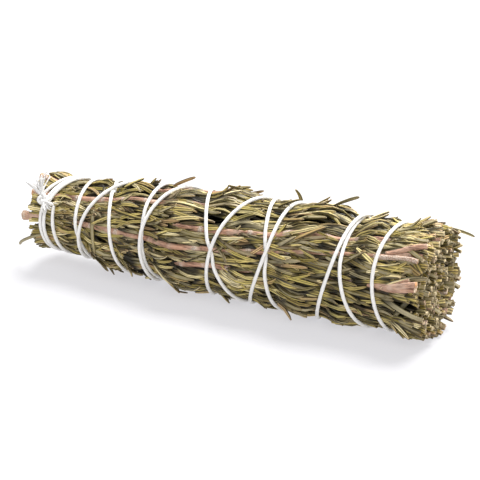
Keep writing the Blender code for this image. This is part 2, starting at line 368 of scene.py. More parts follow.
def string_radius(wound):
    """Radius of the string's centre line, which is STRING_DEPTH below the bundle's radius.

    The outward winding dips where it is crossed over, by CROSSING_DROP * cos ^ 2 of its distance
    from the crossing, and underneath the string is kept above the floor.
    """
    wound = np.asarray(wound, dtype=float)
    over = wound[..., None] % 360 + 360 * TURN_NUMBERS
    gaps = np.abs(string_x(over) - string_x(wound)[..., None])
    gaps = np.where((over > OUTWARD_LAST) & (over <= STRING_LAST), gaps, np.inf)
    nearest = np.minimum(gaps.min(axis=-1), CROSSING_REACH)
    drop = CROSSING_DROP * np.cos(math.pi / 2 * nearest / CROSSING_REACH) ** 2
    drop = np.where(wound > OUTWARD_LAST, 0.0, drop)
    radius = leaf_radius(string_x(wound)) - STRING_DEPTH - drop
    up = np.cos(np.radians(wound))
    lowest = STRING_FLOOR + drop
    under = AXIS_HEIGHT + radius * up < lowest
    return np.where(under, (AXIS_HEIGHT - lowest) / np.where(under, -up, 1.0), radius)


def surface_table():
    """Over angle (rows) and X (columns): the leaf surface's radius, its share of groove, and the
    radius that no leaf passes, because the string holds it down.

    Below the axis all of them end at the floor, at AXIS_HEIGHT / cos(angle from straight down).
    """
    places = np.arange(-0.0820, 0.0840, TABLE_STEP_X)
    angles = np.arange(0.0, 360.0, TABLE_STEP_ANGLE)
    x, angle = np.meshgrid(places, angles)
    turn = np.radians(angle)
    lumps = sum(np.sin(waves * turn + along * x + start) for waves, along, start in LUMP_WAVES)
    full = leaf_radius(x) - SETTLED
    radius = full + LUMP * lumps
    groove = np.zeros_like(full)
    held_to = full + PINCH_FREE
    for number in TURN_NUMBERS:
        wound = angle + 360 * number
        held = (wound >= STRING_FIRST) & (wound <= STRING_LAST)
        away = np.maximum(np.abs(x - string_x(wound)) - GROOVE_FLAT, 0.0)
        share = np.where(held, np.exp(-((away / GROOVE_SHOULDER) ** 2)), 0.0)
        floor = string_radius(wound) - GROOVE_BELOW_STRING
        radius = np.where(held, np.minimum(radius, radius + (floor - radius) * share), radius)
        groove = np.maximum(groove, share)
        away = np.maximum(np.abs(x - string_x(wound)) - PINCH_FLAT, 0.0)
        pinch = np.where(held, np.exp(-((away / PINCH_SHOULDER) ** 2)), 0.0)
        held_to = np.minimum(held_to, full + PINCH_FREE - (full + PINCH_FREE - floor) * pinch)
    down = -np.cos(turn)
    flat = np.where(down > 0.2, AXIS_HEIGHT / np.maximum(down, 0.2), np.inf)
    return places, np.minimum(radius, flat), groove, np.minimum(held_to, flat)


TABLE_X, SURFACE, GROOVES, HELD = surface_table()


def look_up(table, x, angle):
    """Values of a table at places on the bundle, evened out between its cells."""
    row = (np.asarray(angle) % 360) / TABLE_STEP_ANGLE
    column = np.clip((x - TABLE_X[0]) / TABLE_STEP_X, 0, len(TABLE_X) - 1.001)
    low_row, low_column = np.floor(row).astype(int), np.floor(column).astype(int)
    part_row, part_column = row - low_row, column - low_column
    low_row %= table.shape[0]
    next_row = (low_row + 1) % table.shape[0]
    lower = table[low_row, low_column] * (1 - part_row) + table[next_row, low_column] * part_row
    upper = table[low_row, low_column + 1] * (1 - part_row)
    upper += table[next_row, low_column + 1] * part_row
    return lower * (1 - part_column) + upper * part_column


# ---------------------------------------------------------------------------------------------
# Sprigs: numbers, stems and where they come to the surface
# ---------------------------------------------------------------------------------------------
def sprig_list():
    """(number, ring, angle at the middle of the bundle, golden share) of every sprig."""
    sprigs = []
    for ring, (count, first_turn) in enumerate(zip(RING_COUNTS, RING_TURNS)):
        for step in range(count):
            number = len(sprigs) + 1
            sprigs.append((number, ring, first_turn + 360 / count * step, number * GOLDEN_SHARE % 1))
    return sprigs


def smooth(values, reach):
    """Values evened out with a bell-shaped window of that many samples."""
    window = np.exp(-((np.arange(-2 * reach, 2 * reach + 1) / reach) ** 2))
    padded = np.pad(values, 2 * reach, mode="edge")
    return np.convolve(padded, window / window.sum(), mode="valid")


def lowest_nearby(values, reach):
    """The smallest value within reach samples on either side."""
    padded = np.pad(values, reach, mode="edge")
    return np.min([padded[k : k + len(values)] for k in range(2 * reach + 1)], axis=0)


def stem_place(sprig, x):
    """Radius and angle of a sprig's stem at places along X.

    It winds with the bundle on its ring's circle and sways a little. A stem in OPEN_STEMS is
    drawn to its listed places and depths below the surface, over STEM_BLEND before and after.
    """
    number, ring, base, golden = sprig
    angle = base + TWIST_PER_METRE * x
    radius = along_body(x, STEM_CIRCLES[ring])
    sway = 2 * math.pi * golden
    angle = angle + 2.5 * np.sin(75 * x + 3 * sway)
    radius = radius + 0.0004 * np.sin(95 * x + 5 * sway)
    if number in OPEN_STEMS:
        points = np.array(OPEN_STEMS[number])
        open_x = points[:, 0] / 1000
        shift = points[:, 1] - (base + TWIST_PER_METRE * open_x)
        ends = (open_x[0] - STEM_BLEND, open_x[0], open_x[-1], open_x[-1] + STEM_BLEND)
        near = np.interp(x, ends, (0, 1, 1, 0))
        near = near * near * (3 - 2 * near)
        angle = angle + near * (np.interp(x, open_x, shift) - (angle - base - TWIST_PER_METRE * x))
        depth = np.interp(x, open_x, points[:, 2] / 1000)
        at_surface = smooth(lowest_nearby(look_up(SURFACE, x, angle), 2), 4) - depth
        radius = radius + near * (at_surface - radius)
    return radius, angle


SPRIGS = sprig_list()
STEM_TABLE_X = np.arange(-0.0840, 0.0845, 0.001)


def stem_routes():
    """For every sprig, its stem's radius and angle at STEM_TABLE_X, without sharp turns."""
    routes = {}
    for sprig in SPRIGS:
        radius, angle = stem_place(sprig, STEM_TABLE_X)
        routes[sprig[0]] = (smooth(radius, 2), smooth(angle, 3))
    return routes


STEM_ROUTES = stem_routes()


def stem_at(number, x):
    """Radius and angle of a sprig's stem at any places along X, read from its route."""
    radius, angle = STEM_ROUTES[number]
    return np.interp(x, STEM_TABLE_X, radius), np.interp(x, STEM_TABLE_X, angle)


def stem_pressure(x, angle):
    """From 0 to 1: how near a place is to a stem that lies open at the surface."""
    pressure = np.zeros_like(x)
    for number in OPEN_STEMS:
        radius, at = stem_at(number, x)
        away = (angle - at + 180) % 360 - 180
        side = np.radians(away) * radius
        depth = look_up(SURFACE, x, at) - radius
        open_share = np.clip((2.6 - depth * 1000) / 1.2, 0.0, 1.0)
        pressure = np.maximum(pressure, open_share * np.exp(-((side / STEM_CLEARANCE) ** 2)))
    return pressure


# ---------------------------------------------------------------------------------------------
# Meshes
# ---------------------------------------------------------------------------------------------
def mesh_from(name, vertices, loops, starts):
    """A mesh from arrays of vertices, the corners of all faces and each face's first corner."""
    mesh = bpy.data.meshes.new(name)
    mesh.vertices.add(len(vertices))
    mesh.vertices.foreach_set("co", np.ascontiguousarray(vertices, dtype=np.float32).ravel())
    mesh.loops.add(len(loops))
    mesh.loops.foreach_set("vertex_index", loops.astype(np.int32))
    mesh.polygons.add(len(starts))
    mesh.polygons.foreach_set("loop_start", starts.astype(np.int32))
    mesh.update(calc_edges=True)
    return mesh


def swept_faces(count, stations, around):
    """Faces of many swept shapes: corner indices, first corners, and each corner's place.

    Every shape has stations * around vertices, quads between its stations and one flat cap at
    each end. Returns the loops, the starts, which station and which step round every corner
    belongs to, and which faces are caps (1 at the start, 2 at the end).
    """
    station, step = np.meshgrid(np.arange(stations - 1), np.arange(around), indexing="ij")
    corner_station = np.stack((station, station, station + 1, station + 1), axis=-1).reshape(-1)
    corner_step = np.stack((step, step + 1, step + 1, step), axis=-1).reshape(-1)
    ring = np.arange(around)
    cap_stations = (np.zeros(around, int), np.full(around, stations - 1))
    corner_station = np.concatenate((corner_station, *cap_stations))
    corner_step = np.concatenate((corner_step, ring[::-1], ring))
    one = corner_station * around + corner_step % around
    quads = (stations - 1) * around
    start_one = np.concatenate((np.arange(quads) * 4, (quads * 4, quads * 4 + around)))
    kinds = np.concatenate((np.zeros(quads, int), (1, 2)))
    shape = np.arange(count)
    loops = (shape[:, None] * (stations * around) + one).ravel()
    starts = (shape[:, None] * len(one) + start_one).ravel()
    return loops, starts, corner_station, corner_step, np.tile(kinds, count)


def sweep(spine, up, sections):
    """Vertices of shapes swept along spines.

    spine and up are (shapes, stations, 3), sections is (shapes, stations, around, 2): across and
    up, in metres. Across is along x up, so that the section runs from up to across.
    """
    along = unit(np.gradient(spine, axis=1))
    up = unit(up - (up * along).sum(-1, keepdims=True) * along)
    across = np.cross(along, up)
    return (
        spine[:, :, None, :]
        + sections[..., :1] * across[:, :, None, :]
        + sections[..., 1:] * up[:, :, None, :]
    )


def add_uv(mesh, name, u, v):
    """A UV map from the u and v of every face corner."""
    layer = mesh.uv_layers.new(name=name)
    values = np.stack((u, v), axis=-1).astype(np.float32)
    layer.data.foreach_set("uv", values.ravel())


def add_number(mesh, name, values):
    """A number on every vertex, which materials read by its name."""
    layer = mesh.attributes.new(name, "FLOAT", "POINT")
    layer.data.foreach_set("value", values.astype(np.float32))


def finish_mesh(mesh, materials, slots):
    """The object of a mesh, with its materials and the material slot of every face."""
    for material in materials:
        mesh.materials.append(material)
    mesh.polygons.foreach_set("material_index", slots.astype(np.int32))
    mesh.polygons.foreach_set("use_smooth", np.ones(len(mesh.polygons), dtype=bool))
    mesh.update()
    piece = bpy.data.objects.new(mesh.name, mesh)
    bpy.context.scene.collection.objects.link(piece)
    return piece


def steps_round(around):
    """The angles of the corners of a round section, in radians."""
    return 2 * math.pi * np.arange(around) / around


def round_sections(size, turn):
    """Sections for sweep: points at size from the middle, at angles turn from up to across."""
    return np.stack((size * np.sin(turn), size * np.cos(turn)), axis=-1)


def swept_piece(name, spine, up, sections, materials, numbers, cells_wide, cap_slot=0):
    """One piece made of many swept shapes.

    numbers is {name: one value per shape, or one per station}. The UV map "leaf" runs round and
    along each shape, and OFBake gives each shape a cell of its own in a grid that is cells_wide
    cells wide: its side below, and its two caps as small discs above.
    """
    count, stations, around = sections.shape[:3]
    vertices = sweep(spine, up, sections).reshape(-1, 3)
    loops, starts, corner_station, corner_step, kinds = swept_faces(count, stations, around)
    mesh = mesh_from(name, vertices, loops, starts)
    steps = np.linalg.norm(np.diff(spine, axis=1), axis=-1)
    length = np.concatenate((np.zeros((count, 1)), np.cumsum(steps, axis=1)), axis=1)
    along = (length / length[:, -1:])[:, corner_station]
    round_share = np.broadcast_to(corner_step / around, along.shape)
    add_uv(mesh, "leaf", round_share.ravel(), along.ravel())
    rows = math.ceil(count / cells_wide)
    cell = np.arange(count)
    inside_u = 0.04 + 0.92 * round_share
    inside_v = 0.02 + 0.90 * along
    caps = np.arange(len(corner_step)) >= (stations - 1) * around * 4
    turn = 2 * math.pi * corner_step / around
    middle = np.where(corner_station == 0, 0.27, 0.73)
    inside_u = np.where(caps, middle + 0.18 * np.cos(turn), inside_u)
    inside_v = np.where(caps, 0.96 + 0.03 * np.sin(turn), inside_v)
    bake_u = (cell[:, None] % cells_wide + inside_u) / cells_wide
    bake_v = (cell[:, None] // cells_wide + inside_v) / rows
    add_uv(mesh, "OFBake", bake_u.ravel(), bake_v.ravel())
    for label, values in numbers.items():
        each = np.broadcast_to(np.reshape(values, (count, -1, 1)), (count, stations, around))
        add_number(mesh, label, each.ravel())
    return finish_mesh(mesh, materials, np.where(kinds > 0, cap_slot, 0))


# ---------------------------------------------------------------------------------------------
# Materials
# ---------------------------------------------------------------------------------------------
def new_material(name):
    """A material and its main shader."""
    material = bpy.data.materials.new(name)
    material.use_nodes = True
    return material, material.node_tree.nodes["Principled BSDF"]


def node(material, kind, settings=None, **inputs):
    """A shader node with settings as attributes; its inputs take a number, a colour or a socket."""
    made = material.node_tree.nodes.new(kind)
    for key, value in (settings or {}).items():
        setattr(made, key, value)
    for key, value in inputs.items():
        place = int(key[1:]) if key[0] == "i" and key[1:].isdigit() else key.replace("_", " ")
        connect(material, value, made.inputs[place])
    return made


def connect(material, value, socket):
    """Link a socket into another, or set a plain value on it."""
    if isinstance(value, bpy.types.NodeSocket):
        material.node_tree.links.new(value, socket)
    else:
        socket.default_value = value


def math_node(material, operation, first, second=0.0):
    """A calculation with one or two numbers, each a socket or a plain number."""
    return node(material, "ShaderNodeMath", {"operation": operation}, i0=first, i1=second).outputs[0]


def plus(material, first, second):
    """The sum of two numbers."""
    return math_node(material, "ADD", first, second)


def minus(material, first, second):
    """The first number less the second."""
    return math_node(material, "SUBTRACT", first, second)


def times(material, first, second):
    """The product of two numbers."""
    return math_node(material, "MULTIPLY", first, second)


def away_from(material, value, place):
    """How far a value is from a place, on either side."""
    return math_node(material, "ABSOLUTE", minus(material, value, place))


def number_of(material, name):
    """A number that add_number has put on the vertices; 0 where there is none."""
    return node(material, "ShaderNodeAttribute", {"attribute_name": name}).outputs["Fac"]


def mixed(material, share, first, second, blend="MIX"):
    """From the first colour at share 0 to the second at share 1."""
    settings = {"data_type": "RGBA", "blend_type": blend}
    made = node(material, "ShaderNodeMix", settings)
    connect(material, share, made.inputs[0])
    for socket, value in ((made.inputs[6], first), (made.inputs[7], second)):
        connect(material, value if isinstance(value, bpy.types.NodeSocket) else (*value, 1.0), socket)
    return made.outputs[2]


def band(material, value, low, high):
    """0 below low, 1 above high and a smooth step between them."""
    made = node(material, "ShaderNodeMapRange", {"interpolation_type": "SMOOTHSTEP"}, Value=value)
    made.inputs["From Min"].default_value = low
    made.inputs["From Max"].default_value = high
    return made.outputs["Result"]


def noise(material, vector, scale, detail=3.0, roughness=0.55):
    """Smooth noise from 0 to 1, with scale spots to the unit."""
    made = node(material, "ShaderNodeTexNoise", Vector=vector, Scale=scale, Detail=detail)
    made.inputs["Roughness"].default_value = roughness
    return made.outputs["Fac"]


def stretched(material, vector, sizes):
    """A place multiplied by a size on each axis."""
    settings = {"operation": "MULTIPLY"}
    made = node(material, "ShaderNodeVectorMath", settings, i0=vector)
    made.inputs[1].default_value = sizes
    return made.outputs["Vector"]


def surface_of(material, shader, colour, height, distance, strength=1.0):
    """Give a shader its colour, and bumps whose height of 1 stands distance metres high."""
    bump = node(material, "ShaderNodeBump", Height=height, Distance=distance, Strength=strength)
    connect(material, colour, shader.inputs["Base Color"])
    connect(material, bump.outputs["Normal"], shader.inputs["Normal"])


def object_place(material):
    """Places on the piece, in metres."""
    return node(material, "ShaderNodeTexCoord").outputs["Object"]


def leaf_material():
    """Green to tan leaves, felted underneath, with painted highlights on their ridges, painted shade
    in the groove on top and at their edges, and painted shade that grows the deeper they lie.
    """
    material, shader = new_material("dried_leaf")
    tint, age, depth = (number_of(material, name) for name in ("tint", "age", "depth"))
    uv = node(material, "ShaderNodeUVMap", {"uv_map": "leaf"}).outputs["UV"]
    split = node(material, "ShaderNodeSeparateXYZ", Vector=uv)
    around, along = split.outputs["X"], split.outputs["Y"]
    place = object_place(material)
    colour = mixed(material, band(material, tint, 0.0, 0.55), LEAF_DARK, LEAF_GREEN)
    colour = mixed(material, band(material, tint, 0.5, 1.0), colour, LEAF_PALE)
    colour = mixed(material, age, colour, LEAF_BROWN)
    # Round the leaf, the felt is at 0, the edges at 0.2, the ridges at 0.4 and the groove at 0.5
    from_felt = away_from(material, around, 0.5)
    felt = minus(material, 1.0, band(material, from_felt, 0.05, 0.10))
    colour = mixed(material, times(material, felt, 0.75), colour, LEAF_FELT)
    # Painted shade: a dark line in the groove along the top of the leaf
    groove_shade = band(material, from_felt, 0.455, 0.495)
    colour = mixed(material, times(material, groove_shade, 0.45), colour, PAINTED_GROOVE_SHADE)
    tip = times(material, band(material, along, 0.86, 1.0), 0.45)
    colour = mixed(material, tip, colour, LEAF_TIP)
    # Streaks along the leaf and patches across it
    grain = noise(material, stretched(material, uv, (14.0, 1.2, 1.0)), 1.6, 4.0)
    patch = noise(material, place, 420.0, 2.0)
    light = plus(material, times(material, grain, 0.75), times(material, patch, 0.55))
    light = plus(material, light, 0.36)
    # Painted highlights on the ridges, painted shade at the edges between neighbours, and painted
    # shade on leaves that lie further in
    # Painted highlight: each leaf is lighter along its two ridges on top
    ridge_highlight = band(material, away_from(material, from_felt, 0.37), 0.0, 0.10)
    light = times(material, light, minus(material, 1.52, times(material, ridge_highlight, 0.92)))
    # Painted shade: the edges of every leaf are darkened as if its neighbours shadowed them
    edge = minus(material, 1.0, band(material, away_from(material, from_felt, 0.19), 0.02, 0.10))
    light = times(material, light, minus(material, 1.0, times(material, edge, 0.72)))
    # Painted shade: leaves are darkened the deeper they lie below the surface
    gap_shade = band(material, depth, 0.06, 1.35)
    light = times(material, light, minus(material, 1.0, times(material, gap_shade, 0.93)))
    grey = node(material, "ShaderNodeCombineColor", Red=light, Green=light, Blue=light)
    colour = mixed(material, 1.0, colour, grey.outputs["Color"], "MULTIPLY")
    fine = noise(material, stretched(material, place, (300.0, 1500.0, 1500.0)), 1.0, 3.0)
    height = plus(material, fine, times(material, grain, 0.8))
    surface_of(material, shader, colour, height, 0.00012, 0.8)
    shader.inputs["Roughness"].default_value = 0.5
    shader.inputs["Specular IOR Level"].default_value = 0.32
    return material


def cut_leaf_material():
    """The flat cut end of a leaf, or its blunt tip."""
    material, shader = new_material("dried_leaf_cut")
    tint, age = (number_of(material, name) for name in ("tint", "age"))
    mottle = noise(material, object_place(material), 1800.0, 3.0)
    share = band(material, plus(material, tint, mottle), 0.55, 1.25)
    colour = mixed(material, share, LEAF_CUT_DARK, LEAF_CUT_PALE)
    colour = mixed(material, age, colour, LEAF_CUT_BROWN)
    surface_of(material, shader, colour, mottle, 0.0001)
    shader.inputs["Roughness"].default_value = 0.75
    return material


def bark_material():
    """Fibrous bark, woolly at the nodes and peeled at the tied end."""
    material, shader = new_material("stem_bark")
    age, peeled = (number_of(material, name) for name in ("age", "peeled"))
    place = object_place(material)
    fibre = noise(material, stretched(material, place, (90.0, 1500.0, 1500.0)), 1.0, 4.0, 0.6)
    patch = noise(material, place, 170.0, 3.0)
    fuzz = noise(material, place, 2600.0, 3.0)
    colour = mixed(material, band(material, fibre, 0.34, 0.66), BARK_DARK, BARK_PINK)
    colour = mixed(material, band(material, patch, 0.42, 0.75), colour, BARK_PALE)
    woolly = times(material, band(material, age, 0.15, 0.8), band(material, fuzz, 0.36, 0.6))
    colour = mixed(material, times(material, woolly, 0.8), colour, BARK_WOOL)
    colour = mixed(material, peeled, colour, BARK_PEELED)
    height = plus(material, fibre, times(material, fuzz, woolly))
    surface_of(material, shader, colour, height, 0.00028)
    shader.inputs["Roughness"].default_value = 0.72
    return material


def wood_material():
    """The cut face of a stem: pale wood with orange patches and dark grain."""
    material, shader = new_material("stem_wood")
    place = object_place(material)
    grain = noise(material, place, 1900.0, 4.0, 0.65)
    patch = noise(material, place, 520.0, 2.0)
    colour = mixed(material, band(material, patch, 0.40, 0.60), WOOD_ORANGE, WOOD_PALE)
    colour = mixed(material, band(material, grain, 0.30, 0.62), WOOD_DARK, colour)
    surface_of(material, shader, colour, grain, 0.0003)
    shader.inputs["Roughness"].default_value = 0.8
    return material


def cotton_material():
    """White cotton yarn with fine fibres along it, greyer on the frayed tails as painted shade."""
    material, shader = new_material("cotton_string")
    uv = node(material, "ShaderNodeUVMap", {"uv_map": "leaf"}).outputs["UV"]
    fibre = noise(material, stretched(material, uv, (26.0, 900.0, 1.0)), 1.0, 3.0)
    fuzz = noise(material, object_place(material), 2200.0, 4.0, 0.6)
    colour = mixed(material, band(material, fibre, 0.25, 0.75), COTTON_SHADE, COTTON_WHITE)
    # Painted shade: the yarns of the frayed tails are greyed
    colour = mixed(material, number_of(material, "worn"), colour, COTTON_TAIL_SHADE)
    height = plus(material, fibre, times(material, fuzz, 0.6))
    surface_of(material, shader, colour, height, 0.00016, 0.7)
    shader.inputs["Roughness"].default_value = 0.92
    shader.inputs["Sheen Weight"].default_value = 0.35
    shader.inputs["Sheen Roughness"].default_value = 0.5
    return material


LEAF = leaf_material()
LEAF_CUT = cut_leaf_material()
BARK = bark_material()
WOOD = wood_material()
COTTON = cotton_material()


# ---------------------------------------------------------------------------------------------
# Leaves
# ---------------------------------------------------------------------------------------------
def rest_depths(rng, count):
    """How deep each leaf rests: many at the surface, the others further in."""
    pick = rng.random(count)
    surface, below, inside = (rng.uniform(*depths, count) for depths in REST_DEPTHS)
    depth = np.where(pick > REST_SHARES[0], below, surface)
    return np.where(pick > REST_SHARES[1], inside, depth) / 1000


def leaf_starts(rng, count):
    """Where the leaves leave their stem, in tufts a little less regular than the nodes, and
    which of them only fill up the cut end. Some are crowded together at the tied end.
    """
    first, last = LEAF_START_X + LEAF_MARGINS[0], CUT_END_X - LEAF_MARGINS[1]
    x = rng.uniform(first, last, count)
    tuft = (np.floor((x - first) / NODE_SPACING) + 0.5) * NODE_SPACING + first
    x = tuft + rng.normal(0.0, TUFT_SCATTER, count)
    loose = rng.random(count) < LOOSE_SHARE
    x = np.where(loose, rng.uniform(first, last, count), x)
    pick = rng.random(count)
    x = np.clip(x, first, last)
    tied_end = LEAF_START_X + rng.uniform(*TIED_END_PLACES, count)
    x = np.where(pick < TIED_END_SHARE, tied_end, x)
    near_cut = pick > 1 - CUT_END_SHARE
    return np.where(near_cut, CUT_END_X - rng.uniform(*CUT_END_PLACES, count), x), near_cut


def cut_places(rng, count):
    """Where each leaf is cut off at the cut end: most near the cut, some short and some long."""
    return CUT_END_X + np.clip(rng.normal(CUT_MEAN, CUT_SCATTER, count), *CUT_LIMITS)


def leaf_stretch(x0, reach, end_x):
    """Each leaf's stations, from 0 at its base to 1 at its tip, and their places along X.

    A leaf that passes the cut is cut off there, and one at the tied end has lost its base.
    """
    first = np.where(x0 < LEAF_START_X + BROKEN_REACH, BROKEN_SHARE, 0.0)
    last = np.clip(first + (end_x - x0) / reach, first + SHORTEST_SHARE, 1.0)
    t = first[:, None] + np.array(LEAF_STATIONS)[None, :] * (last - first)[:, None]
    return t, x0[:, None] + reach[:, None] * (t - first[:, None])


POWERS = np.vander(np.array(LEAF_STATIONS), 4)
STRAIGHTEN = POWERS @ np.linalg.pinv(POWERS)


def straighter(values):
    """Values along leaves (leaves, stations) as the nearest cubic: a leaf is too stiff to ripple."""
    return values @ STRAIGHTEN.T


def outer_leaf_paths(sprig, rng, count):
    """Spines and outward directions of the leaves of a sprig in the outer ring.

    The angle is the stem's plus the way sideways / radius, and the radius is the surface's less
    the leaf's depth. Both are straightened, because a leaf is stiff, and held by the string.
    """
    number = sprig[0]
    x0, near_cut = leaf_starts(rng, count)
    length = rng.uniform(*LEAF_LENGTH, count)
    heading = np.radians(rng.normal(0.0, HEADING, count))
    heading = np.where(rng.random(count) < ASTRAY_SHARE, heading * ASTRAY_TURN, heading)
    spread = rng.uniform(-SPREAD, SPREAD, count)
    bend = rng.normal(0.0, BEND, count)
    rest = np.where(near_cut, rng.uniform(*CUT_END_DEPTHS, count), rest_depths(rng, count))
    at_cut_end = x0 > CUT_END_X - CUT_END_REACH
    splay = np.where(at_cut_end, rng.uniform(*CUT_END_SPLAY, count), 0.0)
    lift = np.where(rng.random(count) < LIFTED_SHARE, rng.uniform(*LIFT, count), 0.0)
    lift += rng.uniform(*UNEVEN, count)
    waviness = rng.normal(0.0, WAVE, count)
    phase = rng.uniform(0.0, 6.28, count)
    stem_radius, stem_angle = stem_at(number, x0)
    start = look_up(SURFACE, x0, stem_angle) - stem_radius
    early = np.clip((x0 - LEAF_START_X) / TIED_END_BLEND, 0.0, 1.0)
    start = rest + (start - rest) * np.where(near_cut, 0.0, early)
    slope = SLOPE * np.exp(-(((stem_angle - SLOPE_ANGLE) / SLOPE_REACH) ** 2))
    heading = heading + np.radians(slope) * np.exp(-(((x0 - SLOPE_X) / SLOPE_LENGTH) ** 2))
    end_x = cut_places(rng, count)
    heading = heading * np.where(at_cut_end, CUT_END_TURN, 1.0)
    t, x = leaf_stretch(x0, length * np.cos(heading), end_x)
    fanned = 1 - (1 - t) ** FAN
    broken = (x0 < LEAF_START_X + BROKEN_REACH)[:, None]
    fanned = np.where(broken, BROKEN_FAN + (1 - BROKEN_FAN) * fanned, fanned)
    side = spread[:, None] * fanned + np.sin(heading)[:, None] * length[:, None] * t
    side += bend[:, None] * t**2 * 2 + waviness[:, None] * np.sin(9 * t + phase[:, None])
    follow = stem_at(number, x)[1] - stem_angle[:, None]
    base_radius = look_up(SURFACE, x0, stem_angle)[:, None]
    angle = stem_angle[:, None] + STEM_FOLLOW * follow + np.degrees(side / base_radius)
    depth = rest[:, None] + (start - rest)[:, None] * (1 - t) ** RISE
    # Most leaves make way for a stem at the surface, and some cover it
    covers = rng.random(count) < COVERING_SHARE
    pressed = stem_pressure(x, angle) * np.where(covers, 0.0, 1.0)[:, None]
    depth += PUSHED_DOWN * pressed * np.clip(1.6 - depth / STEM_CLEARANCE, 0.0, 1.0)
    free = (1 - look_up(GROOVES, x, angle)) ** 2
    depth -= (lift + splay)[:, None] * t**3 * free
    depth -= np.abs(waviness)[:, None] * np.cos(7 * t + phase[:, None]) * free
    radius = look_up(SURFACE, x, angle) - LEAF_REST - depth
    radius = radius + STIFFNESS * (straighter(radius) - radius)
    angle = straighter(angle)
    x = straighter(x)
    radius = np.minimum(radius, look_up(HELD, x, angle) - 0.8 * LEAF_REST)
    spine = on_bundle(x, np.maximum(radius, INNERMOST), angle)
    # How deep the leaf lies below the surface, which the leaf material turns into painted shade
    inside = look_up(SURFACE, x, angle) - LEAF_REST - radius
    return spine, outward_at(angle), t, inside


def inner_leaf_paths(sprig, rng, count):
    """Spines and outward directions of leaves that lie round a stem inside the bundle.

    They stand off it by INNER_OFF + reach * (1 - (1 - t) ^ FAN), turn round it and lean.
    """
    number, ring = sprig[:2]
    x0, near_cut = leaf_starts(rng, count)
    length = rng.uniform(*LEAF_LENGTH, count)
    end_x = cut_places(rng, count)
    t, x = leaf_stretch(x0, length, end_x)
    turn = rng.uniform(0.0, 2 * math.pi, count)
    reach = INNER_REACH[ring] * np.sqrt(rng.uniform(0.08, 1.0, count))
    reach = np.where(near_cut, reach * INNER_CUT_REACH, reach)
    off = INNER_OFF + reach[:, None] * (1 - (1 - t) ** FAN)
    turn = turn[:, None] + rng.normal(0.0, INNER_TURN, count)[:, None] * t
    stem_radius, stem_angle = stem_at(number, x)
    spine = on_bundle(x, stem_radius, stem_angle)
    away = np.stack((np.zeros_like(turn), np.cos(turn), np.sin(turn)), axis=-1)
    beside = np.stack((np.zeros_like(turn), -np.sin(turn), np.cos(turn)), axis=-1)
    lean = rng.normal(0.0, LEAN, count)[:, None] * (x - x0[:, None])
    spine = spine + off[..., None] * away + lean[..., None] * beside
    return spine, away, t, np.full_like(x, INNER_DEPTH)


def stray_paths(sprig, rng, count):
    """Leaves that cross the others, stand up or curl, wildest on top and flattest underneath.

    Their heading and tilt change evenly, and the spine is the sum of its steps. A leaf that
    would pass over the string is lowered by t * the largest overrun / t along it.
    """
    number, _, base, _ = sprig
    x0 = rng.uniform(LEAF_START_X + 0.003, CUT_END_X - 0.006, count)
    angle = base + TWIST_PER_METRE * x0 + rng.uniform(-15, 15, count)
    length = rng.uniform(*STRAY_LENGTH, count)
    upward = np.cos(np.radians(angle))
    wild = np.clip(0.9 + upward, 0.3, 1.0)
    steep = np.clip(0.7 + upward, 0.1, 1.0)
    heading = np.radians(rng.normal(0, 30, count)) * wild
    tilt = np.radians(rng.uniform(-2, 18, count)) * steep
    turn_in = np.radians(rng.normal(0, 30, count)) * wild
    drop_in = np.radians(rng.normal(-10, 12, count)) * steep
    raised = rng.uniform(-0.0002, 0.0005, count)
    if number in STRAYS:
        placed = np.array(STRAYS[number])
        some = len(placed)
        x0[:some] = placed[:, 0] / 1000
        angle[:some] = placed[:, 1]
        length[:some] = placed[:, 2] / 1000
        for values, column in ((heading, 3), (tilt, 4), (turn_in, 5), (drop_in, 6)):
            values[:some] = np.radians(placed[:, column])
    t = np.broadcast_to(np.array(LEAF_STATIONS)[None, :], (count, len(LEAF_STATIONS)))
    faces = heading[:, None] + turn_in[:, None] * t
    rises = tilt[:, None] + drop_in[:, None] * t
    outward = outward_at(angle)[:, None, :]
    onward = outward_at(angle + 90)[:, None, :]
    heads = (np.cos(rises) * np.cos(faces))[..., None] * ALONG
    heads = heads + (np.cos(rises) * np.sin(faces))[..., None] * onward
    heads = heads + np.sin(rises)[..., None] * outward
    steps = (heads[:, 1:] + heads[:, :-1]) / 2 * (np.diff(t, axis=1) * length[:, None])[..., None]
    start = on_bundle(x0, look_up(SURFACE, x0, angle) - LEAF_REST + raised, angle)[:, None]
    spine = np.concatenate((start, start + np.cumsum(steps, axis=1)), axis=1)
    radius = np.hypot(spine[..., 1], spine[..., 2] - AXIS_HEIGHT)
    turns = np.degrees(np.arctan2(-spine[..., 1], spine[..., 2] - AXIS_HEIGHT))
    over = radius - look_up(HELD, spine[..., 0], turns) + 0.5 * LEAF_REST
    pressed = np.where(t > 0.15, over / np.maximum(t, 0.15), 0.0).max(axis=1, keepdims=True)
    standing = (tilt > np.radians(STANDING))[:, None]
    radius = radius - t * np.where(standing, 0.0, np.maximum(pressed, 0.0))
    spine = on_bundle(spine[..., 0], radius, turns)
    return spine, outward_at(turns), t, np.zeros_like(t)


